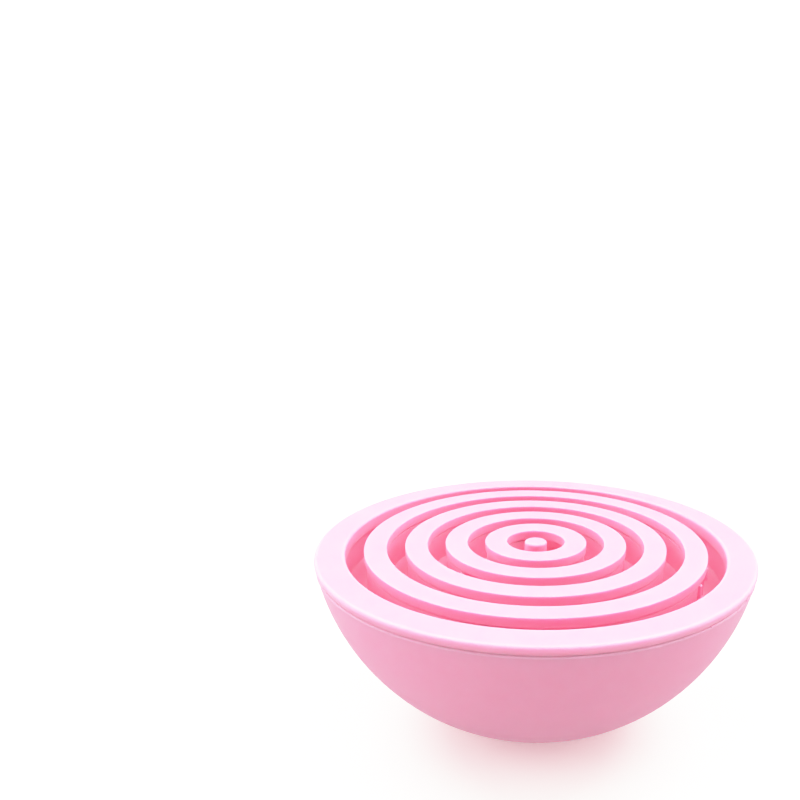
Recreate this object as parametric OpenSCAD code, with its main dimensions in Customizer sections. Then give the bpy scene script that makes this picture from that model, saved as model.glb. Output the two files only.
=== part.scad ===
// Half-ball labyrinth puzzle: a round bowl closed by a flat maze of rings, with steel balls in it.
// Millimetres, +Z up. The origin is the middle of the flat foot that the bowl stands on.
// The balls roll round the ring channels and pass from one to the next through gates that
// the flat cap rings hide from above.

/* [Overall] */
// Diameter across the flat top
outer_d = 100; // [84:1:130]
// Height from the foot to the flat top
height = 43.2; // [38:0.1:54]
// Diameter of the flat foot
foot_d = 18; // [12:1:26]

/* [Maze rings] */
// Width of the flat rim round the maze
rim_w = 6.7; // [6.3:0.1:9]
// Width of the slot between two ring tops
slot_w = 4.1; // [3.2:0.1:5]
// Diameter of the centre pin
pin_d = 5.2; // [4.4:0.1:7]
// Depth of the channels below the flat top
channel_depth = 9; // [8.2:0.1:10.8]
// How far the walls under the caps stand back from the cap edges
under_cut = 0.35; // [0.25:0.05:0.6]
// Width of a gate through a ring wall
gate_w = 8; // [6:0.5:9.6]
// Diameter of the nibs that stand beside a gate, flush with the edge of the cap
nib_d = 1.2; // [0.8:0.1:1.6]
// Round on the upper edges of the rim, the caps and the pin
edge_r = 0.6; // [0.3:0.05:0.7]

/* [Caps and rim] */
// Thickness of a cap ring
cap_t = 2.5; // [2:0.1:3]
// Height of the rim's outer side, down to the parting line
rim_band = 2; // [1.6:0.1:2.6]
// Draft of the rim's outer side over its height
rim_draft = 0.45; // [0.3:0.05:0.55]
// Depth of the rim's inner skirt
skirt_depth = 3.1; // [2.6:0.1:3.7]
// Thickness of the rim's skirt, spigot and top plate
rim_wall = 1.6; // [1.2:0.1:1.9]

/* [Tray] */
// Thickness of the tray floor
floor_t = 1.8; // [1.4:0.1:2.4]
// Thickness of the tray's outer wall
tray_wall = 1.3; // [1:0.1:1.6]
// Diameter of the pegs under the cap rings
cap_peg_d = 1.8; // [1.4:0.1:2.2]
// Length of the pegs under the cap rings
cap_peg_len = 2.2; // [1.5:0.1:3]
// Diameter of the pin's stem, in the tray's hub
stem_d = 2.8; // [2:0.1:3.4]
// Length of the pin's stem
stem_len = 3.6; // [2.5:0.1:5]
// Wall of the hub round the stem
hub_wall = 1.3; // [1:0.1:2]
// Thickness of the hub's closed end
hub_end = 1.2; // [0.8:0.1:2]

/* [Bowl] */
// Wall of the bowl
bowl_wall = 2; // [1.6:0.1:2.4]
// Wall of the bowl's lip, outside the seat for the rim
lip_w = 1.75; // [1.4:0.05:1.9]
// Depth of the seat in the bowl's mouth
seat_depth = 1.6; // [1:0.1:2.4]
// Bevel on the outer edge of the bowl's lip
lip_bevel = 0.25; // [0.1:0.05:0.4]
// Radius of the circle on which the four bosses stand
boss_circle = 33; // [24:1:34]
// Diameter of a boss
boss_d = 7; // [6:0.5:9]
// Diameter of the tray pegs that press into the bosses
tray_peg_d = 3.6; // [3:0.1:4.4]
// Length of the tray pegs
tray_peg_len = 5; // [3:0.5:8]

/* [Balls] */
// How much wider a ball is than the slot above it, which keeps it in
ball_proud = 0.25; // [0.1:0.05:0.4]

/* [Hidden] */
$fn = 120;

ring_count = 4;
peg_count = 4;
boss_count = 4;
// Directions of the gates through rings 1 to 4, from the outermost ring inwards
gate_az = [-19, 115, -125, 50];
// Directions in which the balls rest, from the outermost channel inwards
ball_az = [-102, 72, -68];

fit = 0.05;        // gap on every side between a peg, stem or spigot and its hole
peg_end_gap = 0.3; // room below the end of a peg or stem
bowl_gap = 0.15;   // gap between the tray's edge and the bowl
ball_lift = 0.05;  // gap between a resting ball and the tray floor
nib_start = 0.8;   // height of a nib's lower end, as a share of the ball that rolls past under it
cut = 1;           // how far a cutting shape runs past the wall that it opens
arc_steps = 5;

// Ring 1 is the outermost; its radii follow from the rim, the slots and the pin
outer_r = outer_d / 2;
pin_r = pin_d / 2;
rim_in = outer_r - rim_w;
ring_w = (rim_in - pin_r - (ring_count + 1) * slot_w) / ring_count;
function ring_out(k) = rim_in - slot_w - (k - 1) * (ring_w + slot_w);
function ring_in(k) = ring_out(k) - ring_w;
function ring_mid(k) = ring_out(k) - ring_w / 2;
function channel_mid(k) = ring_out(k) + slot_w / 2;

// Levels
seam_z = height - rim_band;
wall_top_z = height - cap_t;
skirt_z = height - skirt_depth;
floor_z = height - channel_depth;
under_z = floor_z - floor_t;

// The bowl's sphere passes through the top edge and the edge of the foot
foot_r = foot_d / 2;
ball_rise = (outer_r * outer_r - foot_r * foot_r - height * height) / (2 * height);
sphere_z = height + ball_rise;
sphere_r = sqrt(outer_r * outer_r + ball_rise * ball_rise);
function sphere_r_at(z, r) = sqrt(r * r - (sphere_z - z) * (sphere_z - z));

lip_r = sphere_r_at(seam_z, sphere_r);
seat_r = lip_r - lip_w;
spigot_r = seat_r - fit;
tray_r = rim_in + under_cut + tray_wall;
hub_r = stem_d / 2 + fit + hub_wall;
hub_hole = stem_len + peg_end_gap;
ball_d = slot_w + ball_proud;
nib_z = floor_z + ball_lift + nib_start * ball_d;
function nib_turn(k) = asin((gate_w + nib_d) / 2 / ring_mid(k));

// A ring of rectangular section
module band(r_in, r_out, z_low, z_high) {
    rotate_extrude() translate([r_in, z_low]) square([r_out - r_in, z_high - z_low]);
}

// Points of a quarter arc round (x, z), from the angle given
function quarter(x, z, r, from) =
    [for (i = [0 : arc_steps]) let (a = from + 90 * i / arc_steps) [x + r * cos(a), z + r * sin(a)]];

// Copies of a shape at equal steps round the axis
module around(count, radius, first) {
    for (i = [0 : count - 1]) rotate([0, 0, first + 360 * i / count]) translate([radius, 0, 0]) children();
}

// Round, hollow bowl with a flat foot, a seat in its mouth and four bosses inside
module bowl_shell() {
    color("#e8a0bc") difference() {
        union() {
            difference() {
                bowl_outside();
                bowl_hollow();
                translate([0, 0, seam_z - seat_depth]) cylinder(r = seat_r, h = seat_depth + cut);
            }
            intersection() {
                translate([0, 0, sphere_z]) sphere(r = sphere_r - bowl_wall / 2);
                around(boss_count, boss_circle, 0) cylinder(d = boss_d, h = under_z);
            }
        }
        translate([0, 0, under_z - tray_peg_len - peg_end_gap])
            around(boss_count, boss_circle, 0)
                cylinder(d = tray_peg_d + 2 * fit, h = tray_peg_len + peg_end_gap + cut);
    }
}

module bowl_outside() {
    intersection() {
        translate([0, 0, sphere_z]) sphere(r = sphere_r);
        rotate_extrude() polygon([[0, 0], [outer_r + cut, 0], [outer_r + cut, seam_z - lip_bevel - cut],
            [lip_r + cut, seam_z - lip_bevel - cut], [lip_r - lip_bevel, seam_z], [0, seam_z]]);
    }
}

module bowl_hollow() {
    intersection() {
        translate([0, 0, sphere_z]) sphere(r = sphere_r - bowl_wall);
        translate([0, 0, bowl_wall]) cylinder(r = outer_r, h = height);
    }
}

// Floor of the maze with the lower ring walls, their gates, the hub and the four pegs
module maze_tray() {
    color("#ff86b4") difference() {
        union() {
            intersection() {
                union() {
                    translate([0, 0, under_z]) cylinder(r = tray_r, h = floor_t);
                    band(rim_in + under_cut, tray_r, under_z, skirt_z);
                }
                translate([0, 0, sphere_z]) sphere(r = sphere_r - bowl_wall - bowl_gap);
            }
            for (k = [1 : ring_count]) ring_wall(k);
            translate([0, 0, floor_z - hub_hole - hub_end])
                cylinder(r = hub_r, h = hub_hole + hub_end - floor_t / 2);
            translate([0, 0, under_z - tray_peg_len])
                around(boss_count, boss_circle, 0) cylinder(d = tray_peg_d, h = tray_peg_len + floor_t / 2);
        }
        translate([0, 0, floor_z - hub_hole]) cylinder(d = stem_d + 2 * fit, h = hub_hole + cut);
    }
}

// Lower wall of ring k, with its gate, the nibs beside the gate and the holes for the cap's pegs
module ring_wall(k) {
    peg_hole_z = wall_top_z - cap_peg_len - peg_end_gap;
    difference() {
        union() {
            band(ring_in(k) + under_cut, ring_out(k) - under_cut, floor_z - floor_t / 2, wall_top_z);
            for (side = [-1, 1]) rotate([0, 0, gate_az[k - 1] + side * nib_turn(k)])
                translate([ring_out(k) - nib_d / 2, 0, nib_z]) cylinder(d = nib_d, h = wall_top_z - nib_z);
        }
        rotate([0, 0, gate_az[k - 1]]) translate([0, -gate_w / 2, floor_z])
            cube([ring_out(k) + cut, gate_w, channel_depth]);
        translate([0, 0, peg_hole_z]) cap_pegs(k, cap_peg_d + 2 * fit, channel_depth);
    }
}

// The pegs of cap ring k, or the holes for them; they keep clear of the gate
module cap_pegs(k, d, h) {
    around(peg_count, ring_mid(k), gate_az[k - 1] + 180 / peg_count) cylinder(d = d, h = h);
}

// Flat cap on ring k, with the pegs that hold it in the wall
module cap_ring(k) {
    color("#ffe4f3") union() {
        rotate_extrude() polygon(concat(
            [[ring_in(k), wall_top_z], [ring_out(k), wall_top_z]],
            quarter(ring_out(k) - edge_r, height - edge_r, edge_r, 0),
            quarter(ring_in(k) + edge_r, height - edge_r, edge_r, 90)));
        translate([0, 0, wall_top_z - cap_peg_len]) cap_pegs(k, cap_peg_d, cap_peg_len + cap_t / 2);
    }
}

// Rim: a flat plate, a drafted outer side, an inner skirt on the tray and a spigot in the bowl
module top_rim() {
    plate_z = height - rim_wall;
    spigot_z = seam_z - seat_depth + fit;
    color("#fff0f8") rotate_extrude() polygon(concat(
        [[rim_in, skirt_z], [rim_in + rim_wall, skirt_z], [rim_in + rim_wall, plate_z],
         [spigot_r - rim_wall, plate_z], [spigot_r - rim_wall, spigot_z], [spigot_r, spigot_z],
         [spigot_r, seam_z], [outer_r - rim_draft, seam_z]],
        quarter(outer_r - edge_r, height - edge_r, edge_r, 0),
        quarter(rim_in + edge_r, height - edge_r, edge_r, 90)));
}

// Pin in the middle of the maze, with a stem that presses into the tray's hub
module centre_pin() {
    color("#ffd9ec") union() {
        rotate_extrude() polygon(concat(
            [[0, floor_z], [pin_r, floor_z]],
            quarter(pin_r - edge_r, height - edge_r, edge_r, 0),
            [[0, height]]));
        translate([0, 0, floor_z - stem_len]) cylinder(d = stem_d, h = stem_len + channel_depth / 2);
    }
}

// Steel ball in channel k, at its resting direction
module steel_ball(k) {
    color("silver") rotate([0, 0, ball_az[k - 1]])
        translate([channel_mid(k), 0, floor_z + ball_lift + ball_d / 2]) sphere(d = ball_d);
}

bowl_shell();
maze_tray();
top_rim();
cap_ring(1);  // cap_ring_1
cap_ring(2);  // cap_ring_2
cap_ring(3);  // cap_ring_3
cap_ring(4);  // cap_ring_4
centre_pin();
steel_ball(1);  // steel_ball_1
steel_ball(2);  // steel_ball_2
steel_ball(3);  // steel_ball_3
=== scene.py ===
"""Half-ball labyrinth puzzle: turned and moulded plastic pieces with three steel balls.

Sizes are in metres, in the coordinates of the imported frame.
"""
import math
import random

import bmesh
import bpy
from mathutils import Matrix, Vector


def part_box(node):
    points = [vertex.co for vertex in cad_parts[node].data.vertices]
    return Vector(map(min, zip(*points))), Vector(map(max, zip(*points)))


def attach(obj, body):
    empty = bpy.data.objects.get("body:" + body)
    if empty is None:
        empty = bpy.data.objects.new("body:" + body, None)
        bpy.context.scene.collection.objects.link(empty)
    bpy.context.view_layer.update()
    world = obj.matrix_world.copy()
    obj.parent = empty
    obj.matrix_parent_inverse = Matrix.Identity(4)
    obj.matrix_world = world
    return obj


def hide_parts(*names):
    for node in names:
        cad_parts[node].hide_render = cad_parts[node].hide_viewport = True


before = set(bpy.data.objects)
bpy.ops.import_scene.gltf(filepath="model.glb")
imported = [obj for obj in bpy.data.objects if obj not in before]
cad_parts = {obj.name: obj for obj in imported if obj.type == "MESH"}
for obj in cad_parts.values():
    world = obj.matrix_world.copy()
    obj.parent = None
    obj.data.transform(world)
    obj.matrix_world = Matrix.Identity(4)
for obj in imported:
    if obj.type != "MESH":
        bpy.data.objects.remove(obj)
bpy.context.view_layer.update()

MM = 0.001
RING_COUNT = 4
BALL_COUNT = 3
STEPS = 288                      # facets round a large turned piece
PIN_STEPS = 120
POST_STEPS = 48
CAP_PEG_STEPS = 40
ARC_STEPS = 6                    # facets of a small rounded corner
SHELL_OUT_STEPS = 72             # facets down the outside of the bowl
SHELL_IN_STEPS = 40
BALL_CUTS = 23                   # cuts across each face of the cube that a ball is blown up from
SECTION_CUTS = 3                 # points added on each side of a swept section
SMOOTH_ANGLE = 35                # faces that meet at more degrees keep a sharp edge

# Sizes read from the frame
rim_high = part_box("top_rim")[1]
TOP = rim_high.z
RIM_R = rim_high.x
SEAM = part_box("bowl_shell")[1].z
PIN_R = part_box("centre_pin")[1].x

# Sizes of the design that no box shows: the rim and the cap rings
RIM_W = 6.7 * MM
RIM_DRAFT = 0.45 * MM
RIM_UPRIGHT = 0.1 * MM           # upright part of the rim's side
RIM_WALL = 1.6 * MM
SKIRT_DEPTH = 3.1 * MM
CAP_T = 2.5 * MM
CAP_PEG_R = 0.9 * MM
CAP_PEG_L = 2.2 * MM
CAP_PEG_ROOT = 0.2 * MM          # how far a peg runs past its length at either end
CAP_HOLE_DEPTH = 2.5 * MM
CAP_LOWER_R = 0.14 * MM
PEG_COUNT = 4                    # pegs under each ring
SLOT_W = 4.1 * MM

# The tray
UNDER_CUT = 0.35 * MM            # how far the ring walls stand back under the caps
CHANNEL_DEPTH = 9.0 * MM
FLOOR_T = 1.8 * MM
TRAY_WALL = 1.3 * MM
TRAY_ROUND = 0.4 * MM
TRAY_BEVEL = 0.2 * MM
TRAY_FOOT_BEVEL = 0.3 * MM
TRAY_PEG_R = 1.8 * MM
TRAY_PEG_L = 5.0 * MM
GATE_W = 8.0 * MM
GATE_AZ = (-19, 115, -125, 50)   # direction of the gate through each ring, in degrees
JAMB_R = 0.5 * MM                # round on the posts of the gates
JAMB_ANGLE = 40                  # the posts' edges that are sharper than this are rounded
NIB_R = 0.6 * MM                 # nibs beside each gate
NIB_PROUD = 0.25 * MM            # how far a nib stands out past the cap's edge
NIB_RISE = 3.53 * MM             # from the floor to a nib's lower end
NIB_ROUND = 0.1 * MM
HUB_R = 2.75 * MM
HUB_DEPTH = 5.1 * MM

# The pin
STEM_R = 1.4 * MM
STEM_L = 3.6 * MM
STEM_BEVEL = 0.3 * MM
STEM_HOLE_DEPTH = 3.9 * MM

# The bowl
FOOT_R = 9.0 * MM
FOOT_RING_R = 4.9 * MM           # inner radius of the flat ring that stands on the table
FOOT_RING_SLOPE = 0.3 * MM
FOOT_HOLLOW = 0.4 * MM
MARK_R = 1.2 * MM                # the moulding mark in the middle of the hollow
MARK_SLOPE = 0.2 * MM
MARK_HOLLOW = 0.25 * MM
BOWL_WALL = 2.0 * MM
BOWL_GAP = 0.15 * MM
LIP_W = 1.75 * MM
LIP_ROUND = 0.4 * MM
LIP_BEVEL = 0.15 * MM
SEAT_DEPTH = 1.6 * MM
BEAD_H = 0.60 * MM               # the bead at the bowl's lip
BEAD_OUT = 0.15 * MM
BEAD_RISE = 0.14 * MM
BOSS_COUNT = 4
BOSS_CIRCLE = 33.0 * MM
BOSS_R = 3.5 * MM
BOSS_HOLE_DEPTH = 5.3 * MM

# Fits and rounds
FIT = 0.05 * MM
HAIR = 0.02 * MM                 # keeps the smooth rim inside the frame's box
PAST = 1.0 * MM                  # how far the solid that cuts a hole runs past the surface
EDGE_R = 0.6 * MM                # round on the upper edges
RIM_EDGE_R = 0.70 * MM           # fuller round on the rim's outer edge
CRISP_R = 0.12 * MM              # round on the rim's small edges
POST_ROUND = 0.3 * MM
HOLD = 0.3 * MM                  # from a round to the next point on the flat
HOLD_SHARE = 0.4                 # or this share of the flat, where the flat is short

# Levels and radii that follow
RIM_IN = RIM_R - RIM_W
CAP_LOW = TOP - CAP_T
SKIRT_LOW = TOP - SKIRT_DEPTH
FLOOR = TOP - CHANNEL_DEPTH
UNDER = FLOOR - FLOOR_T
NIB_LOW = FLOOR + NIB_RISE
TRAY_R = RIM_IN + UNDER_CUT + TRAY_WALL
RISE = (RIM_R ** 2 - FOOT_R ** 2 - TOP ** 2) / (2 * TOP)
BALL_Z = TOP + RISE
BALL_R = math.hypot(RIM_R, RISE)


def ring_radii(k):
    """Inner and outer radius of ring k; ring 1 is the outermost."""
    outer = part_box(f"cap_ring_{k}")[1].x
    width = (RIM_IN - PIN_R - (RING_COUNT + 1) * SLOT_W) / RING_COUNT
    return outer - width, outer


def bowl_r(z, shrink=0.0):
    """Radius of the bowl's sphere at height z, or of one that lies inside it."""
    return math.sqrt((BALL_R - shrink) ** 2 - (BALL_Z - z) ** 2)


# ---------------------------------------------------------------- outlines and turned shapes

def arc(x, z, r, start, end, steps=ARC_STEPS):
    """Points of an arc round (x, z), from one angle in degrees to another."""
    span = [math.radians(start + (end - start) * i / steps) for i in range(steps + 1)]
    return [(x + r * math.cos(a), z + r * math.sin(a)) for a in span]


def rounded(corners):
    """Outline with each corner (x, z, radius) rounded, and a point beside each round to hold it."""
    points = []
    count = len(corners)
    for i, (x, z, r) in enumerate(corners):
        here = Vector((x, z))
        if r <= 0:
            points.append((x, z))
            continue
        behind = Vector(corners[i - 1][:2]) - here
        ahead = Vector(corners[(i + 1) % count][:2]) - here
        before = behind.normalized()
        after = ahead.normalized()
        half = before.angle(after) / 2
        reach = r / math.tan(half)
        centre = here + (before + after).normalized() * (r / math.sin(half))
        first = here + before * reach - centre
        last = here + after * reach - centre
        turn = first.angle_signed(last)
        points.append(tuple(here + before * (reach + min(HOLD, HOLD_SHARE * (behind.length - reach)))))
        for s in range(ARC_STEPS + 1):
            point = first.copy()
            point.rotate(Matrix.Rotation(-turn * s / ARC_STEPS, 2))
            points.append(tuple(centre + point))
        points.append(tuple(here + after * (reach + min(HOLD, HOLD_SHARE * (ahead.length - reach)))))
    return points


def new_piece(name, mesh):
    piece = bpy.data.objects.new(name, mesh)
    bpy.context.scene.collection.objects.link(piece)
    return piece


def shade(mesh, angle=SMOOTH_ANGLE):
    """Shades a mesh smooth, but for its sharp edges."""
    mesh.shade_smooth()
    mesh.set_sharp_from_angle(angle=math.radians(angle))


def finish_mesh(bm, name, smooth_angle=SMOOTH_ANGLE):
    """Merges doubles, turns the faces outwards and shades all but the sharp edges smooth."""
    bmesh.ops.remove_doubles(bm, verts=bm.verts, dist=0.0001 * MM)
    bmesh.ops.recalc_face_normals(bm, faces=bm.faces)
    mesh = bpy.data.meshes.new(name)
    bm.to_mesh(mesh)
    bm.free()
    shade(mesh, smooth_angle)
    return mesh


def turn_outline(bm, outline, steps=STEPS, closed=True):
    """Turns an outline of (radius, height) points round the vertical axis."""
    rings = []
    turns = [2 * math.pi * i / steps for i in range(steps)]
    for r, z in outline:
        if r == 0:
            rings.append([bm.verts.new((0, 0, z))])
        else:
            rings.append([bm.verts.new((r * math.cos(a), r * math.sin(a), z)) for a in turns])
    pairs = list(zip(rings, rings[1:]))
    if closed:
        pairs.append((rings[-1], rings[0]))
    for low, high in pairs:
        for i in range(steps):
            j = (i + 1) % steps
            if len(low) == 1:
                bm.faces.new((low[0], high[i], high[j]))
            elif len(high) == 1:
                bm.faces.new((low[i], low[j], high[0]))
            else:
                bm.faces.new((low[i], low[j], high[j], high[i]))


def turned(name, outline, steps=STEPS, closed=True):
    bm = bmesh.new()
    turn_outline(bm, outline, steps, closed)
    return new_piece(name, finish_mesh(bm, name))


def post(name, radius, low, high, places, round_r=POST_ROUND):
    """A group of round posts with a rounded upper edge."""
    upper_edge = arc(radius - round_r, high - round_r, round_r, 0, 90)
    outline = [(0, low), (radius, low), *upper_edge, (0, high)]
    bm = bmesh.new()
    for x, y in places:
        start = len(bm.verts)
        turn_outline(bm, outline, POST_STEPS, closed=False)
        bm.verts.ensure_lookup_table()
        bmesh.ops.translate(bm, verts=bm.verts[start:], vec=(x, y, 0))
    return new_piece(name, finish_mesh(bm, name))


def combine(piece, other, operation):
    """Joins another solid to a piece, or cuts it out, and drops the other."""
    cut = piece.modifiers.new("combine", "BOOLEAN")
    cut.operation = operation
    cut.object = other
    cut.solver = "MANIFOLD"
    apply_modifiers(piece)
    bpy.data.objects.remove(other)


def apply_modifiers(piece):
    """Turns the evaluated piece into a plain mesh."""
    graph = bpy.context.evaluated_depsgraph_get()
    mesh = bpy.data.meshes.new_from_object(piece.evaluated_get(graph))
    piece.modifiers.clear()
    piece.data = mesh


def around(count, radius, first):
    """Places at equal steps on a circle, from the direction given in degrees."""
    turns = [math.radians(first + 360 * i / count) for i in range(count)]
    return [(radius * math.cos(a), radius * math.sin(a)) for a in turns]


# ---------------------------------------------------------------- node helpers

def link(tree, source, target):
    tree.links.new(source, target)


def feed(tree, slot, value):
    """Links a slot to another node's socket, or gives it a plain value."""
    if hasattr(value, "is_output"):
        link(tree, value, slot)
    else:
        slot.default_value = value


def calculate(tree, kind, first, second=0.0):
    node = tree.nodes.new("ShaderNodeMath")
    node.operation = kind
    feed(tree, node.inputs[0], first)
    feed(tree, node.inputs[1], second)
    return node.outputs[0]


def group_socket(tree, name, kind, way="INPUT", value=None):
    socket = tree.interface.new_socket(name=name, in_out=way, socket_type=kind)
    if value is not None:
        socket.default_value = value
    return socket


def set_inputs(piece, modifier, values):
    """Sets a node modifier's inputs by their identifiers."""
    for item in modifier.node_group.interface.items_tree:
        if item.item_type == "SOCKET" and item.in_out == "INPUT" and item.name in values:
            modifier[item.identifier] = values[item.name]
    piece.update_tag()


# ---------------------------------------------------------------- geometry trees

def swept_ring_tree():
    """A rounded section swept round a circle or along an open arc, with pegs under it if asked."""
    tree = bpy.data.node_groups.new("swept ring", "GeometryNodeTree")
    group_socket(tree, "Geometry", "NodeSocketGeometry")
    for name in ("Inner radius", "Outer radius", "Low", "High", "Upper round", "Lower round",
                 "Peg radius", "Peg length", "Start angle", "Sweep angle", "Peg direction"):
        group_socket(tree, name, "NodeSocketFloat", value=0.0)
    group_socket(tree, "Facets", "NodeSocketInt", value=STEPS)
    group_socket(tree, "Pegs", "NodeSocketInt", value=0)
    group_socket(tree, "Closed", "NodeSocketBool", value=True)
    group_socket(tree, "Material", "NodeSocketMaterial")
    group_socket(tree, "Geometry", "NodeSocketGeometry", way="OUTPUT")
    made = tree.nodes
    given = made.new("NodeGroupInput").outputs
    out = made.new("NodeGroupOutput")

    both = calculate(tree, "ADD", given["Inner radius"], given["Outer radius"])
    middle = calculate(tree, "MULTIPLY", both, 0.5)
    width = calculate(tree, "SUBTRACT", given["Outer radius"], given["Inner radius"])
    height = calculate(tree, "SUBTRACT", given["High"], given["Low"])
    level = calculate(tree, "MULTIPLY", calculate(tree, "ADD", given["High"], given["Low"]), 0.5)

    circle = made.new("GeometryNodeCurvePrimitiveCircle")
    link(tree, given["Facets"], circle.inputs["Resolution"])
    link(tree, middle, circle.inputs["Radius"])
    part_circle = made.new("GeometryNodeCurveArc")
    link(tree, given["Facets"], part_circle.inputs["Resolution"])
    link(tree, middle, part_circle.inputs["Radius"])
    link(tree, given["Start angle"], part_circle.inputs["Start Angle"])
    link(tree, given["Sweep angle"], part_circle.inputs["Sweep Angle"])
    path = made.new("GeometryNodeSwitch")
    path.input_type = "GEOMETRY"
    link(tree, given["Closed"], path.inputs["Switch"])
    link(tree, part_circle.outputs[0], path.inputs["False"])
    link(tree, circle.outputs["Curve"], path.inputs["True"])

    section = made.new("GeometryNodeCurvePrimitiveQuadrilateral")
    link(tree, width, section.inputs["Width"])
    link(tree, height, section.inputs["Height"])
    fillet = made.new("GeometryNodeFilletCurve")
    fillet.mode = "POLY"
    link(tree, section.outputs[0], fillet.inputs["Curve"])
    place = made.new("GeometryNodeInputPosition")
    parts = made.new("ShaderNodeSeparateXYZ")
    link(tree, place.outputs[0], parts.inputs[0])
    upper = calculate(tree, "GREATER_THAN", parts.outputs["Y"])
    extra = calculate(tree, "SUBTRACT", given["Upper round"], given["Lower round"])
    round_r = calculate(tree, "ADD", given["Lower round"], calculate(tree, "MULTIPLY", upper, extra))
    link(tree, round_r, fillet.inputs["Radius"])
    fillet.inputs["Count"].default_value = ARC_STEPS
    finer = made.new("GeometryNodeSubdivideCurve")
    link(tree, fillet.outputs[0], finer.inputs["Curve"])
    finer.inputs["Cuts"].default_value = SECTION_CUTS

    sweep = made.new("GeometryNodeCurveToMesh")
    link(tree, path.outputs[0], sweep.inputs["Curve"])
    link(tree, finer.outputs[0], sweep.inputs["Profile Curve"])
    sweep.inputs["Fill Caps"].default_value = True
    lift = made.new("ShaderNodeCombineXYZ")
    link(tree, level, lift.inputs["Z"])
    placed = made.new("GeometryNodeTransform")
    link(tree, sweep.outputs[0], placed.inputs["Geometry"])
    link(tree, lift.outputs[0], placed.inputs["Translation"])

    spots = made.new("GeometryNodePoints")
    link(tree, given["Pegs"], spots.inputs["Count"])
    number = made.new("GeometryNodeInputIndex")
    share = calculate(tree, "DIVIDE", number.outputs[0], given["Pegs"])
    turn = calculate(tree, "ADD", calculate(tree, "MULTIPLY", share, 2 * math.pi), given["Peg direction"])
    spot = made.new("ShaderNodeCombineXYZ")
    link(tree, calculate(tree, "MULTIPLY", calculate(tree, "COSINE", turn), middle), spot.inputs["X"])
    link(tree, calculate(tree, "MULTIPLY", calculate(tree, "SINE", turn), middle), spot.inputs["Y"])
    half_peg = calculate(tree, "MULTIPLY", given["Peg length"], 0.5)
    link(tree, calculate(tree, "SUBTRACT", given["Low"], half_peg), spot.inputs["Z"])
    link(tree, spot.outputs[0], spots.inputs["Position"])
    peg = made.new("GeometryNodeMeshCylinder")
    peg.inputs["Vertices"].default_value = CAP_PEG_STEPS
    link(tree, given["Peg radius"], peg.inputs["Radius"])
    link(tree, calculate(tree, "ADD", given["Peg length"], 2 * CAP_PEG_ROOT), peg.inputs["Depth"])
    pegs = made.new("GeometryNodeInstanceOnPoints")
    link(tree, spots.outputs[0], pegs.inputs["Points"])
    link(tree, peg.outputs[0], pegs.inputs["Instance"])

    joined = made.new("GeometryNodeJoinGeometry")
    link(tree, pegs.outputs[0], joined.inputs[0])
    link(tree, placed.outputs[0], joined.inputs[0])
    real = made.new("GeometryNodeRealizeInstances")
    link(tree, joined.outputs[0], real.inputs[0])
    paint = made.new("GeometryNodeSetMaterial")
    link(tree, real.outputs[0], paint.inputs["Geometry"])
    link(tree, given["Material"], paint.inputs["Material"])
    link(tree, paint.outputs[0], out.inputs[0])
    return tree


def swept(name, values):
    """A plain mesh piece made by the swept ring tree."""
    piece = new_piece(name, bpy.data.meshes.new(name))
    modifier = piece.modifiers.new("swept ring", "NODES")
    modifier.node_group = RING_TREE
    set_inputs(piece, modifier, values)
    apply_modifiers(piece)
    return piece


RING_TREE = swept_ring_tree()


# ---------------------------------------------------------------- shader groups

def shader_group(name, inputs, outputs):
    """A shader node group with its sockets; returns the tree, its given values and its results."""
    tree = bpy.data.node_groups.new(name, "ShaderNodeTree")
    for label, kind, value in inputs:
        group_socket(tree, label, kind, value=value)
    for label, kind in outputs:
        group_socket(tree, label, kind, way="OUTPUT")
    given = tree.nodes.new("NodeGroupInput").outputs
    results = tree.nodes.new("NodeGroupOutput").inputs
    return tree, given, results


def noise(tree, vector, scale, detail=3.0, rough=0.5):
    node = tree.nodes.new("ShaderNodeTexNoise")
    link(tree, vector, node.inputs["Vector"])
    feed(tree, node.inputs["Scale"], scale)
    node.inputs["Detail"].default_value = detail
    node.inputs["Roughness"].default_value = rough
    return node.outputs["Fac"]


def spread(tree, value, low, high, to_low=0.0, to_high=1.0):
    """Maps a value from one range to another, clamped."""
    node = tree.nodes.new("ShaderNodeMapRange")
    link(tree, value, node.inputs["Value"])
    for slot, number in zip(("From Min", "From Max", "To Min", "To Max"), (low, high, to_low, to_high)):
        node.inputs[slot].default_value = number
    return node.outputs["Result"]


def moulded_grain_group():
    """The fine spark-eroded grain of a mould, with slow sink marks and a colour mottle."""
    tree, given, results = shader_group(
        "moulded grain",
        [("Vector", "NodeSocketVector", None), ("Grains per metre", "NodeSocketFloat", 4000.0)],
        [("Height", "NodeSocketFloat"), ("Mottle", "NodeSocketFloat")])
    fine = noise(tree, given["Vector"], given["Grains per metre"], detail=2.0, rough=0.6)
    slow = noise(tree, given["Vector"], scale=90.0, detail=2.0, rough=0.4)
    cloud = noise(tree, given["Vector"], scale=340.0, detail=4.0, rough=0.6)
    sink = calculate(tree, "MULTIPLY", slow, 1.5)
    link(tree, calculate(tree, "ADD", fine, sink), results["Height"])
    cloud_part = calculate(tree, "MULTIPLY", cloud, 0.6)
    slow_part = calculate(tree, "MULTIPLY", slow, 0.4)
    link(tree, calculate(tree, "ADD", cloud_part, slow_part), results["Mottle"])
    return tree


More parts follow.
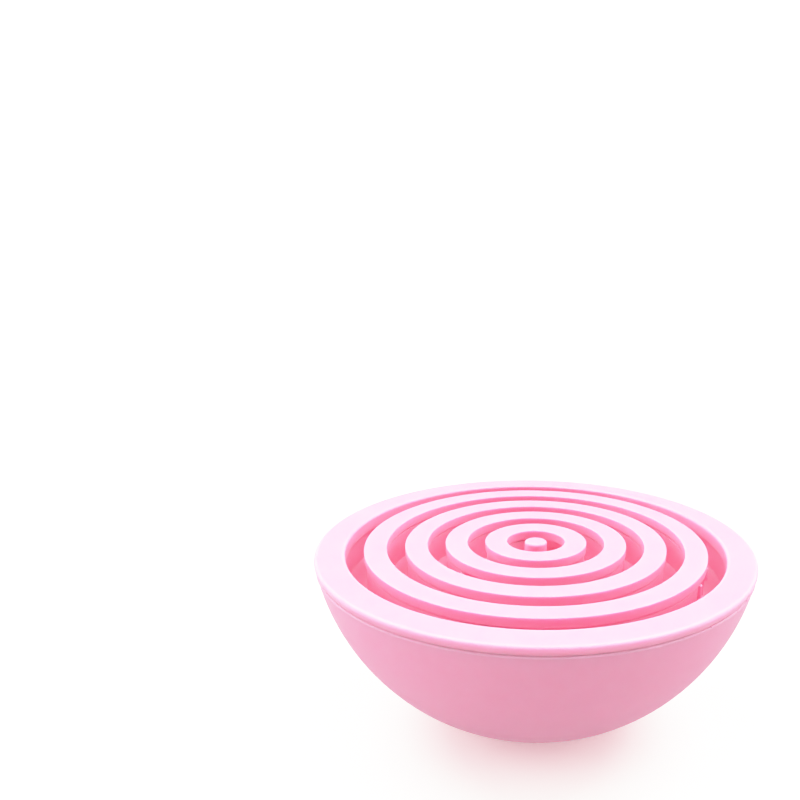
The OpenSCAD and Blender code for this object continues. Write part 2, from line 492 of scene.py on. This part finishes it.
def handling_marks_group():
    """Hairline scratches and finger smudges, as masks."""
    tree, given, results = shader_group(
        "handling marks",
        [("Vector", "NodeSocketVector", None), ("Marks per metre", "NodeSocketFloat", 160.0)],
        [("Scratches", "NodeSocketFloat"), ("Smudges", "NodeSocketFloat")])
    lines = None
    for turn in (0.4, 1.9, 2.7):         # three directions of hairlines, in radians
        mapping = tree.nodes.new("ShaderNodeMapping")
        link(tree, given["Vector"], mapping.inputs["Vector"])
        mapping.inputs["Location"].default_value = (turn, 0.37 * turn, 0.11)
        mapping.inputs["Rotation"].default_value = (0.3 * turn, 0.2, turn)
        mapping.inputs["Scale"].default_value = (22.0, 1.0, 9.0)
        wave = noise(tree, mapping.outputs[0], given["Marks per metre"], detail=1.0, rough=0.4)
        line = spread(tree, wave, low=0.70, high=0.78)
        lines = line if lines is None else calculate(tree, "MAXIMUM", lines, line)
    link(tree, lines, results["Scratches"])
    smudge = noise(tree, given["Vector"], scale=120.0, rough=0.55)
    link(tree, spread(tree, smudge, low=0.45, high=0.7), results["Smudges"])
    return tree


def edge_highlight_and_rub_group():
    """Mask of the outer edges, used for a painted highlight there and for their duller rubbed finish: the
    value edge that each piece carries, broken up.
    """
    tree, given, results = shader_group(
        "edge highlight and rub",
        [("Vector", "NodeSocketVector", None)],
        [("Edge", "NodeSocketFloat")])
    marked = tree.nodes.new("ShaderNodeAttribute")
    marked.attribute_name = "edge"
    patchy = noise(tree, given["Vector"], scale=700.0, rough=0.6)
    broken = spread(tree, patchy, low=0.3, high=0.7, to_low=0.45)
    link(tree, calculate(tree, "MULTIPLY", marked.outputs["Fac"], broken), results["Edge"])
    return tree


GRAIN = moulded_grain_group()
MARKS = handling_marks_group()
EDGES = edge_highlight_and_rub_group()


# ---------------------------------------------------------------- materials

def add_group(tree, group, vector, **values):
    node = tree.nodes.new("ShaderNodeGroup")
    node.node_tree = group
    link(tree, vector, node.inputs["Vector"])
    for name, value in values.items():
        node.inputs[name.replace("_", " ")].default_value = value
    return node.outputs


def mix_colours(tree, mask, first, second):
    node = tree.nodes.new("ShaderNodeMix")
    node.data_type = "RGBA"
    link(tree, mask, node.inputs["Factor"])
    for slot, colour in (("A", first), ("B", second)):
        target = [s for s in node.inputs if s.name == slot and s.type == "RGBA"][0]
        feed(tree, target, colour if hasattr(colour, "is_output") else (*colour, 1.0))
    return [s for s in node.outputs if s.type == "RGBA"][0]


def object_vector(tree):
    return tree.nodes.new("ShaderNodeTexCoord").outputs["Object"]


def add_bump(tree, shader, height, strength, depth):
    bump = tree.nodes.new("ShaderNodeBump")
    bump.inputs["Strength"].default_value = strength
    bump.inputs["Distance"].default_value = depth
    link(tree, height, bump.inputs["Height"])
    link(tree, bump.outputs[0], shader.inputs["Normal"])


PINK = (0.968, 0.365, 0.525)
HIGHLIGHT_AND_SCRATCH_PINK = (0.99, 0.62, 0.76)   # painted highlight for the edges, and the paler colour of hairline scratches
DEEP_PINK = (0.96, 0.348, 0.508)
GLOW = 0.65                      # share of the light that goes through the plastic's skin
GLOW_DEPTH = 3.2 * MM
GLOW_REACH = (1.0, 0.6, 0.8)     # how far red, green and blue run in it
PLASTIC_IOR = 1.49


def pink_plastic(name, roughness, edge_highlight, grain, depth):
    """Dyed moulded plastic: a mottled colour, mould grain, a painted highlight on the edges (which are also
    rubbed duller), smudges and hairlines.
    """
    material = bpy.data.materials.new(name)
    material.use_nodes = True
    tree = material.node_tree
    shader = tree.nodes["Principled BSDF"]
    vector = object_vector(tree)
    texture = add_group(tree, GRAIN, vector, Grains_per_metre=grain)
    marks = add_group(tree, MARKS, vector)
    edge = add_group(tree, EDGES, vector)["Edge"]
    dyed = mix_colours(tree, spread(tree, texture["Mottle"], low=0.35, high=0.65), DEEP_PINK, PINK)
    # Painted highlight: the marked edges are mixed towards pale pink, as if they caught the light.
    painted_edge_highlight = mix_colours(tree, calculate(tree, "MULTIPLY", edge, edge_highlight), dyed, HIGHLIGHT_AND_SCRATCH_PINK)
    faint_lines = calculate(tree, "MULTIPLY", marks["Scratches"], 0.03)
    link(tree, mix_colours(tree, faint_lines, painted_edge_highlight, HIGHLIGHT_AND_SCRATCH_PINK), shader.inputs["Base Color"])

    greasy = calculate(tree, "MULTIPLY", marks["Smudges"], 0.07)
    uneven = spread(tree, texture["Mottle"], low=0.3, high=0.7,
                    to_low=roughness - 0.03, to_high=roughness + 0.03)
    dulled = calculate(tree, "MULTIPLY", edge, 0.3)
    rough = calculate(tree, "ADD", calculate(tree, "ADD", greasy, uneven), dulled)
    link(tree, rough, shader.inputs["Roughness"])

    grooves = calculate(tree, "MULTIPLY", marks["Scratches"], 0.12)
    add_bump(tree, shader, calculate(tree, "SUBTRACT", texture["Height"], grooves), 0.5, depth)
    shader.inputs["IOR"].default_value = PLASTIC_IOR
    shader.inputs["Subsurface Weight"].default_value = GLOW
    shader.inputs["Subsurface Radius"].default_value = GLOW_REACH
    shader.inputs["Subsurface Scale"].default_value = GLOW_DEPTH
    return material


BRIGHT_STEEL = (0.72, 0.72, 0.73)
DULL_STEEL = (0.60, 0.60, 0.62)


def polished_steel(name):
    """Bearing steel: bright, with faint polishing lines and rub marks from the tray."""
    material = bpy.data.materials.new(name)
    material.use_nodes = True
    tree = material.node_tree
    shader = tree.nodes["Principled BSDF"]
    vector = object_vector(tree)
    marks = add_group(tree, MARKS, vector, Marks_per_metre=900.0)
    tarnish = noise(tree, vector, scale=600.0)
    dull = spread(tree, tarnish, low=0.35, high=0.7)
    link(tree, mix_colours(tree, dull, BRIGHT_STEEL, DULL_STEEL), shader.inputs["Base Color"])
    shader.inputs["Metallic"].default_value = 1.0
    rubs = calculate(tree, "MULTIPLY", marks["Scratches"], 0.15)
    uneven = spread(tree, tarnish, low=0.3, high=0.7, to_low=0.07, to_high=0.15)
    link(tree, calculate(tree, "ADD", rubs, uneven), shader.inputs["Roughness"])
    add_bump(tree, shader, marks["Scratches"], 0.3, 0.01 * MM)
    return material


COARSE = {"grain": 3600.0, "depth": 0.04 * MM}       # grains per metre and their depth
FINE = {"grain": 5200.0, "depth": 0.01 * MM}
# edge_highlight: how strongly each plastic's edges are painted pale as a highlight
bowl_plastic = pink_plastic("matt pink bowl plastic", roughness=0.48, edge_highlight=0.2, **COARSE)
ring_plastic = pink_plastic("satin pink ring plastic", roughness=0.34, edge_highlight=0.12, **FINE)
tray_plastic = pink_plastic("satin pink tray plastic", roughness=0.36, edge_highlight=0.12, **FINE)
ball_steel = polished_steel("polished ball steel")


# ---------------------------------------------------------------- the pieces

def mark_edges(piece):
    """Stores how sharply the surface turns outwards at each point, from 0 to 1, as the value edge."""
    flat, full = 4.0, 12.0       # degrees between two faces
    bm = bmesh.new()
    bm.from_mesh(piece.data)
    value = bm.verts.layers.float.new("edge")
    for vertex in bm.verts:
        turns = [math.degrees(edge.calc_face_angle_signed(0.0)) for edge in vertex.link_edges]
        vertex[value] = min(max((max(turns) - flat) / (full - flat), 0.0), 1.0)
    bm.to_mesh(piece.data)
    bm.free()


def settle(piece, material, body, node):
    """Gives a finished piece its material and its place in the frame."""
    mark_edges(piece)
    piece.data.materials.clear()
    piece.data.materials.append(material)
    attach(piece, body)
    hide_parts(node)


def make_bowl():
    """Round shell with a foot, a bead at its lip, a seat for the rim, four bosses and specks of glue."""
    seat_r = bowl_r(SEAM) - LIP_W
    bead_low = SEAM - BEAD_H
    bead_r = bowl_r(bead_low) + BEAD_OUT

    def on_sphere(radius, z):
        return math.degrees(math.asin((z - BALL_Z) / radius))

    foot = [(0, MARK_HOLLOW), (MARK_R, MARK_HOLLOW), (MARK_R + MARK_SLOPE, FOOT_HOLLOW),
            (FOOT_RING_R - FOOT_RING_SLOPE, FOOT_HOLLOW), (FOOT_RING_R, 0)]
    foot_turn = -math.degrees(math.acos(FOOT_R / BALL_R))
    outside = arc(0, BALL_Z, BALL_R, foot_turn, on_sphere(BALL_R, bead_low), SHELL_OUT_STEPS)
    lip = [(bead_r, bead_low + BEAD_RISE), *arc(bead_r - LIP_ROUND, SEAM - LIP_ROUND, LIP_ROUND, 0, 90),
           (seat_r + LIP_BEVEL, SEAM), (seat_r, SEAM - LIP_BEVEL), (seat_r, SEAM - SEAT_DEPTH)]
    inner_r = BALL_R - BOWL_WALL
    inside = arc(0, BALL_Z, inner_r, on_sphere(inner_r, SEAM - SEAT_DEPTH), on_sphere(inner_r, BOWL_WALL),
                 SHELL_IN_STEPS)
    shell = turned("bowl", [*foot, *outside, *lip, *inside, (0, BOWL_WALL)], closed=False)
    places = around(BOSS_COUNT, BOSS_CIRCLE, 0)
    boss_low = BALL_Z - math.sqrt((BALL_R - BOWL_WALL / 2) ** 2 - (BOSS_CIRCLE + BOSS_R) ** 2)
    combine(shell, post("bosses", BOSS_R, boss_low, UNDER, places), "UNION")
    holes = post("boss holes", TRAY_PEG_R + FIT, UNDER - BOSS_HOLE_DEPTH, UNDER + PAST, places)
    combine(shell, holes, "DIFFERENCE")
    combine(shell, glue_specks(), "UNION")
    shade(shell.data)
    return shell


def glue_specks():
    """Small flat beads of glue that were squeezed out of the seam on one side."""
    dice = random.Random(11)
    bm = bmesh.new()
    for turn in (-63, -57, -49, -46, -38, -33, -30, -24):        # degrees
        size = dice.uniform(0.10, 0.22) * MM
        angle = math.radians(turn + dice.uniform(-1.5, 1.5))
        start = len(bm.verts)
        bmesh.ops.create_icosphere(bm, subdivisions=3, radius=size)
        bm.verts.ensure_lookup_table()
        fresh = bm.verts[start:]
        reach = bowl_r(SEAM) - HAIR
        level = SEAM - dice.uniform(0.0, 0.5) * MM
        bmesh.ops.scale(bm, verts=fresh, vec=(1.0, dice.uniform(1.2, 2.2), 0.9))
        bmesh.ops.rotate(bm, verts=fresh, matrix=Matrix.Rotation(angle, 3, "Z"))
        spot = (reach * math.cos(angle), reach * math.sin(angle), level)
        bmesh.ops.translate(bm, verts=fresh, vec=spot)
    return new_piece("glue", finish_mesh(bm, "glue"))


def make_ring_wall(k):
    """Ring wall k, open at its gate, with rounded posts on either side of it."""
    inner, outer = ring_radii(k)
    half_gate = math.asin((GATE_W / 2) / ((inner + outer) / 2))
    wall = swept(f"wall_{k}", {
        "Inner radius": inner + UNDER_CUT, "Outer radius": outer - UNDER_CUT, "Low": FLOOR - FLOOR_T / 2,
        "High": CAP_LOW, "Closed": False, "Material": tray_plastic,
        "Start angle": math.radians(GATE_AZ[k - 1]) + half_gate, "Sweep angle": 2 * math.pi - 2 * half_gate})
    bevel = wall.modifiers.new("bevel", "BEVEL")
    bevel.width = JAMB_R
    bevel.segments = ARC_STEPS
    bevel.limit_method = "ANGLE"
    bevel.angle_limit = math.radians(JAMB_ANGLE)
    apply_modifiers(wall)
    return wall


def make_nibs(k):
    """The two nibs beside the gate of ring k."""
    inner, outer = ring_radii(k)
    nib_turn = math.degrees(math.asin((GATE_W / 2 + NIB_R) / ((inner + outer) / 2)))
    reach = outer - NIB_R + NIB_PROUD
    turns = [math.radians(GATE_AZ[k - 1] + side * nib_turn) for side in (-1, 1)]
    places = [(reach * math.cos(a), reach * math.sin(a)) for a in turns]
    return post("nibs", NIB_R, NIB_LOW, CAP_LOW, places, NIB_ROUND)


def make_tray():
    """Floor, outer wall, ring walls, nibs, hub, pegs and the holes for the caps' pegs."""
    low_r = min(bowl_r(UNDER, BOWL_WALL + BOWL_GAP), TRAY_R)
    wall_in = RIM_IN + UNDER_CUT
    floor_loops = [(r + side * HOLD, FLOOR) for k in range(1, RING_COUNT + 1)
                   for r, side in ((ring_radii(k)[1], 1), (ring_radii(k)[0], -1))]
    outline = [(0, UNDER), (low_r - TRAY_FOOT_BEVEL, UNDER), (low_r, UNDER + TRAY_FOOT_BEVEL),
               (TRAY_R, SKIRT_LOW - TRAY_BEVEL), (TRAY_R - TRAY_BEVEL, SKIRT_LOW),
               *reversed(arc(wall_in + TRAY_ROUND, SKIRT_LOW - TRAY_ROUND, TRAY_ROUND, 90, 180)),
               *reversed(arc(wall_in - TRAY_ROUND, FLOOR + TRAY_ROUND, TRAY_ROUND, -90, 0)),
               *floor_loops, (0, FLOOR)]
    tray = turned("tray", outline, closed=False)
    holes = []
    for k in range(1, RING_COUNT + 1):
        combine(tray, make_ring_wall(k), "UNION")
        combine(tray, make_nibs(k), "UNION")
        holes += around(PEG_COUNT, sum(ring_radii(k)) / 2, GATE_AZ[k - 1] + 180 / PEG_COUNT)
    middle = [(0, 0)]
    half_floor = FLOOR_T / 2
    for name, radius, low, high, places, operation in (
            ("tray pegs", TRAY_PEG_R, UNDER - TRAY_PEG_L, UNDER + half_floor,
             around(BOSS_COUNT, BOSS_CIRCLE, 0), "UNION"),
            ("hub", HUB_R, FLOOR - HUB_DEPTH, FLOOR - half_floor, middle, "UNION"),
            ("stem hole", STEM_R + FIT, FLOOR - STEM_HOLE_DEPTH, FLOOR + PAST, middle, "DIFFERENCE"),
            ("peg holes", CAP_PEG_R + FIT, CAP_LOW - CAP_HOLE_DEPTH, CAP_LOW + PAST, holes, "DIFFERENCE")):
        combine(tray, post(name, radius, low, high, places), operation)
    shade(tray.data)
    return tray


def make_rim():
    """Flat rim with a drafted outer side, an inner skirt and a spigot for the bowl's seat."""
    spigot_r = bowl_r(SEAM) - LIP_W - FIT
    spigot_low = SEAM - SEAT_DEPTH + FIT
    plate_low = TOP - RIM_WALL
    widest_low = TOP - RIM_EDGE_R - RIM_UPRIGHT
    outline = rounded([
        (RIM_IN, SKIRT_LOW, CRISP_R), (RIM_IN + RIM_WALL, SKIRT_LOW, CRISP_R),
        (RIM_IN + RIM_WALL, plate_low, 0),
        (spigot_r - RIM_WALL, plate_low, 0), (spigot_r - RIM_WALL, spigot_low, CRISP_R),
        (spigot_r, spigot_low, CRISP_R), (spigot_r, SEAM, 0), (RIM_R - RIM_DRAFT, SEAM, CRISP_R),
        (RIM_R - HAIR, widest_low, 0), (RIM_R - HAIR, TOP, RIM_EDGE_R), (RIM_IN, TOP, EDGE_R)])
    return turned("rim", outline)


def make_cap(k):
    """Flat ring k with its pegs."""
    inner, outer = ring_radii(k)
    cap = swept(f"cap_{k}", {
        "Inner radius": inner, "Outer radius": outer, "Low": CAP_LOW, "High": TOP,
        "Upper round": EDGE_R, "Lower round": CAP_LOWER_R, "Peg radius": CAP_PEG_R,
        "Peg length": CAP_PEG_L, "Pegs": PEG_COUNT,
        "Peg direction": math.radians(GATE_AZ[k - 1] + 180 / PEG_COUNT), "Material": ring_plastic})
    shade(cap.data)
    return cap


def make_pin():
    """Pin with a rounded top, on a stem that presses into the hub."""
    stem_low = FLOOR - STEM_L
    outline = [(0, stem_low), (STEM_R - STEM_BEVEL, stem_low), (STEM_R, stem_low + STEM_BEVEL),
               (STEM_R, FLOOR), (PIN_R, FLOOR), (PIN_R, TOP - EDGE_R - HOLD),
               *arc(PIN_R - EDGE_R, TOP - EDGE_R, EDGE_R, 0, 90), (PIN_R - EDGE_R - HOLD, TOP), (0, TOP)]
    return turned("pin", outline, steps=PIN_STEPS, closed=False)


def make_ball(k):
    """Steel ball as a smooth cube-sphere, which has no poles."""
    low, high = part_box(f"steel_ball_{k}")
    centre = (low + high) / 2
    radius = (high.z - low.z) / 2
    bm = bmesh.new()
    bmesh.ops.create_cube(bm, size=2.0)
    bmesh.ops.subdivide_edges(bm, edges=bm.edges, cuts=BALL_CUTS, use_grid_fill=True)
    for vertex in bm.verts:
        vertex.co = centre + vertex.co.normalized() * radius
    return new_piece(f"ball_{k}", finish_mesh(bm, f"ball_{k}", smooth_angle=180))


settle(make_bowl(), bowl_plastic, "puzzle", "bowl_shell")
settle(make_tray(), tray_plastic, "puzzle", "maze_tray")
settle(make_rim(), ring_plastic, "puzzle", "top_rim")
for k in range(1, RING_COUNT + 1):
    settle(make_cap(k), ring_plastic, "puzzle", f"cap_ring_{k}")
settle(make_pin(), ring_plastic, "puzzle", "centre_pin")
for k in range(1, BALL_COUNT + 1):
    settle(make_ball(k), ball_steel, f"ball_{k}", f"steel_ball_{k}")


# ---------------------------------------------------------------- floor, light and camera

def make_floor():
    """Pale floor that runs out to the horizon. It looks white, yet throws back only a soft light."""
    dim_base, seen_base = (0.28, 0.275, 0.275), (0.95, 0.99, 0.91)
    dim_shine, seen_shine = 0.415, 0.19
    bm = bmesh.new()
    bmesh.ops.create_circle(bm, cap_ends=True, radius=30.0, segments=96)
    mesh = bpy.data.meshes.new("floor")
    bm.to_mesh(mesh)
    bm.free()
    floor = new_piece("floor", mesh)
    material = bpy.data.materials.new("pale floor")
    material.use_nodes = True
    tree = material.node_tree
    shader = tree.nodes["Principled BSDF"]
    seen = tree.nodes.new("ShaderNodeLightPath").outputs["Is Camera Ray"]
    link(tree, mix_colours(tree, seen, dim_base, seen_base), shader.inputs["Base Color"])
    shine = spread(tree, seen, low=0.0, high=1.0, to_low=dim_shine, to_high=seen_shine)
    link(tree, shine, shader.inputs["Emission Strength"])
    shader.inputs["Emission Color"].default_value = (1.0, 0.99, 0.99, 1.0)
    shader.inputs["Roughness"].default_value = 0.75
    shader.inputs["Specular IOR Level"].default_value = 0.2
    floor.data.materials.append(material)


SOFT_LIGHTS = (                  # name, direction and height in degrees, power, width in degrees
    ("left low", 180, 30, 1.3, 40),
    ("left front", -150, 30, 0.9, 40),
    ("left high", 145, 55, 2.6, 40),
    ("right low", 0, 32, 1.5, 40),
    ("right front", -30, 30, 0.3, 40),
    ("right high", 35, 55, 2.7, 40),
    ("overhead", 90, 88, 1.1, 60),
    ("front", -90, 52, 0.4, 40))


def make_light():
    """Broad soft lights all round, strongest from the sides."""
    for name, azimuth, height, power, width in SOFT_LIGHTS:
        turn = math.radians(azimuth)
        tilt = math.radians(height)
        towards = Vector((math.cos(tilt) * math.cos(turn), math.cos(tilt) * math.sin(turn), math.sin(tilt)))
        data = bpy.data.lights.new(name, "SUN")
        data.energy = power
        data.angle = math.radians(width)
        lamp = bpy.data.objects.new(name, data)
        lamp.rotation_euler = towards.to_track_quat("Z", "Y").to_euler()
        bpy.context.scene.collection.objects.link(lamp)


def make_room():
    """White room round the object, dim in reflections."""
    reflected, seen = 0.35, 1.8
    world = bpy.data.worlds.new("studio")
    bpy.context.scene.world = world
    world.use_nodes = True
    world.cycles_visibility.diffuse = False
    tree = world.node_tree
    room = tree.nodes["Background"]
    room.inputs["Color"].default_value = (1, 1, 1, 1)
    ray = tree.nodes.new("ShaderNodeLightPath").outputs["Is Camera Ray"]
    strength = spread(tree, ray, low=0.0, high=1.0, to_low=reflected, to_high=seen)
    link(tree, strength, room.inputs["Strength"])


def make_camera():
    """Camera in front of the object and above it, aimed beside it so that it sits low and to the right."""
    distance = 0.172858
    rise, yaw, pitch, roll = (math.radians(a) for a in (21.253, -0.831, -20.364, 1.0))
    data = bpy.data.cameras.new("camera")
    data.sensor_width = 36.0
    data.lens = 33.389
    data.shift_x = -0.1575
    data.shift_y = 0.16125
    data.clip_start = 0.01
    camera = bpy.data.objects.new("camera", data)
    camera.location = (0, -distance * math.cos(rise), TOP + distance * math.sin(rise))
    ahead = Vector((math.sin(yaw) * math.cos(pitch), math.cos(yaw) * math.cos(pitch), math.sin(pitch)))
    level = Vector((math.cos(yaw), -math.sin(yaw), 0))
    upright = level.cross(ahead)
    right = level * math.cos(roll) + upright * math.sin(roll)
    up = upright * math.cos(roll) - level * math.sin(roll)
    camera.rotation_euler = Matrix((right, up, -ahead)).transposed().to_euler()
    bpy.context.scene.collection.objects.link(camera)
    bpy.context.scene.camera = camera


def soften_highlights():
    """Keeps the bright plastic from burning out: even up to 0.75, then easing to white at 1.6."""
    view = bpy.context.scene.view_settings
    view.view_transform = "Standard"
    view.use_curve_mapping = True
    white = 1.6
    view.curve_mapping.white_level = (white, white, white)
    curve = view.curve_mapping.curves[3]         # the curve for all three colours together
    shoulder = ((0.4, 0.4), (0.75, 0.75), (0.9, 0.865), (1.1, 0.945), (1.3, 0.978))
    for light, shown in shoulder:
        curve.points.new(light / white, shown)
    view.curve_mapping.update()


make_floor()
make_light()
make_room()
make_camera()
soften_highlights()
